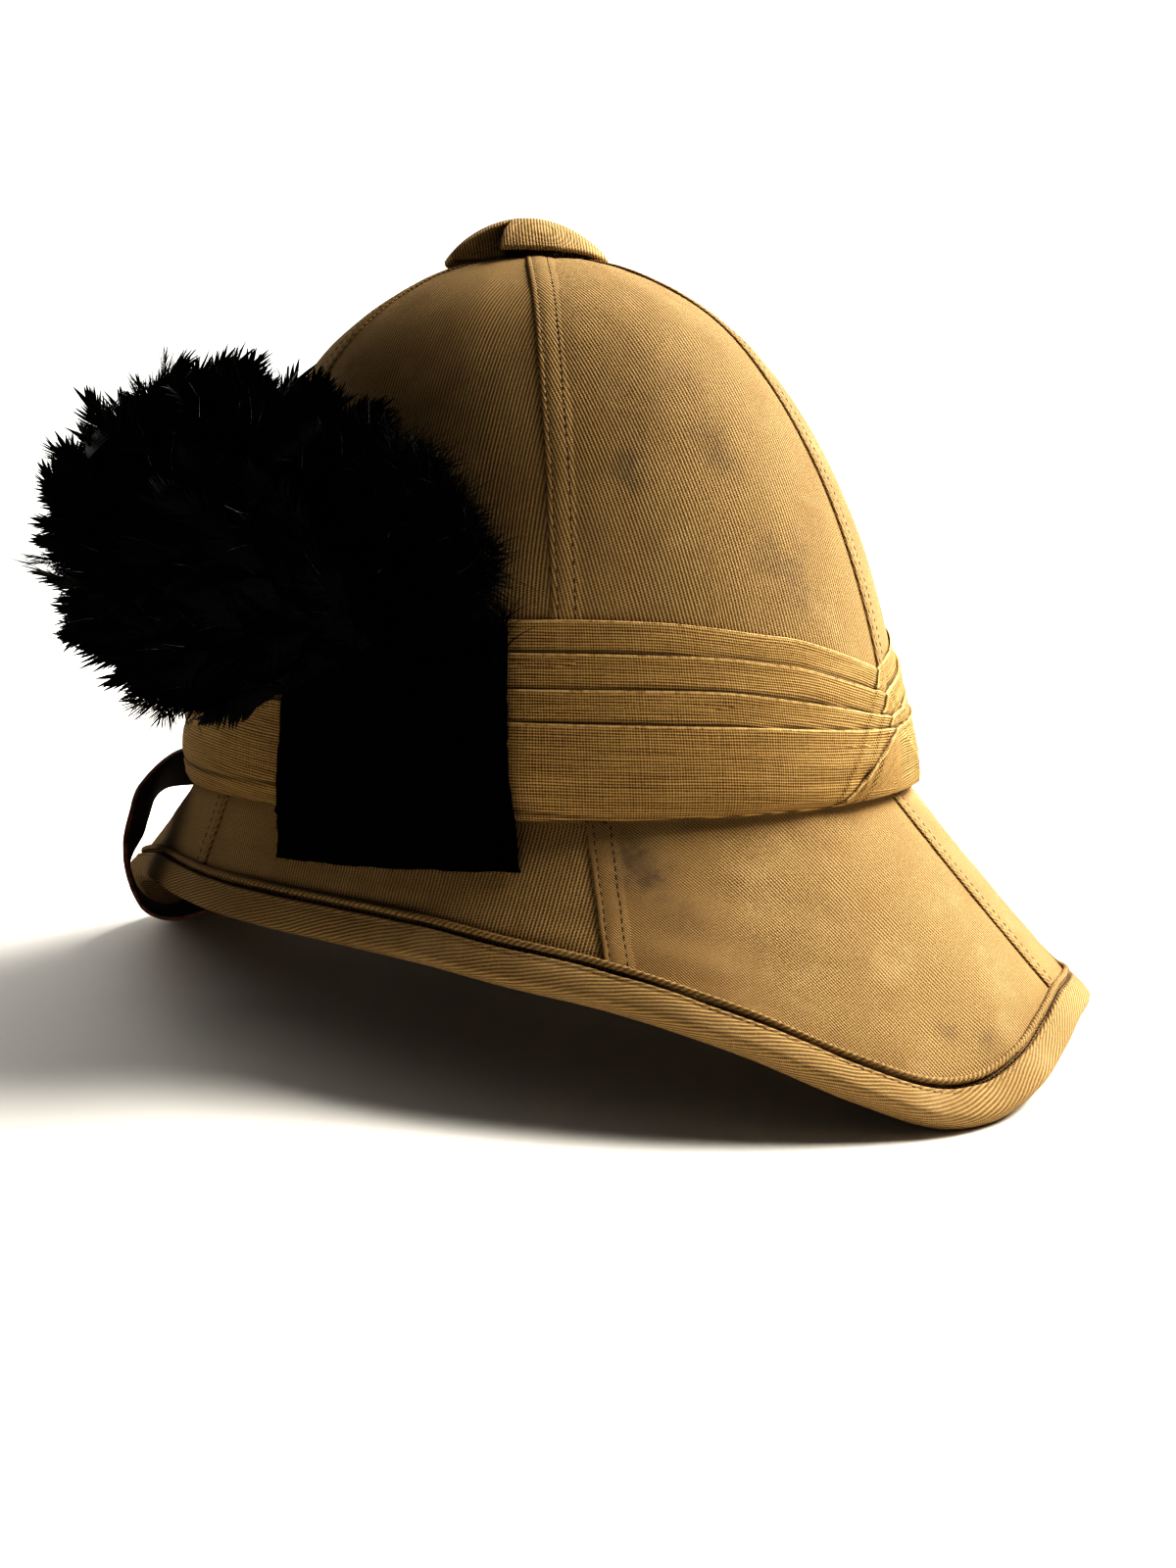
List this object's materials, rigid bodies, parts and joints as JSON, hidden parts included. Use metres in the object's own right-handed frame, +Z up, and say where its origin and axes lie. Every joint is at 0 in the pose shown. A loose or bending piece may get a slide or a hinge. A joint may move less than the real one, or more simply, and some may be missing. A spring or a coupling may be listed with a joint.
{
  "type": "pith helmet",
  "caption": "Khaki cloth covered pith helmet with a wound puggaree, black felt side patch, black feather plume and brown leather chin strap.",
  "frame": {"origin": "on the floor under the middle of the outer box, where the helmet stands on its peak and tail", "axes": "+Z up, -Y towards the front of the helmet, +X towards the wearer's left"},
  "size_m": [0.2884, 0.356, 0.2576],
  "materials": {
    "khaki_cloth": "dull cotton twill, faded and stained",
    "binding_cloth": "ribbed cotton tape, worn at the edge",
    "puggaree_cloth": "open woven cotton muslin, wound in folds",
    "felt": "matt black wool felt with lint",
    "strap_leather": "aged glossy brown leather, rubbed pale at the bends",
    "stud_brass": "dull brass",
    "feather": "black feathers with a satin sheen"
  },
  "bodies": {
    "root": {"shell": "khaki_cloth", "seam_front": "khaki_cloth", "seam_front_left": "khaki_cloth", "seam_back_left": "khaki_cloth", "seam_back": "khaki_cloth", "seam_back_right": "khaki_cloth", "seam_front_right": "khaki_cloth", "brim_binding": "binding_cloth", "brim_piping": "binding_cloth", "puggaree": "puggaree_cloth", "side_patch": "felt", "button": "khaki_cloth", "button_post": "stud_brass", "chin_strap": "strap_leather", "strap_stud_left": "stud_brass", "strap_stud_right": "stud_brass", "plume": "feather"}
  },
  "joints": []
}
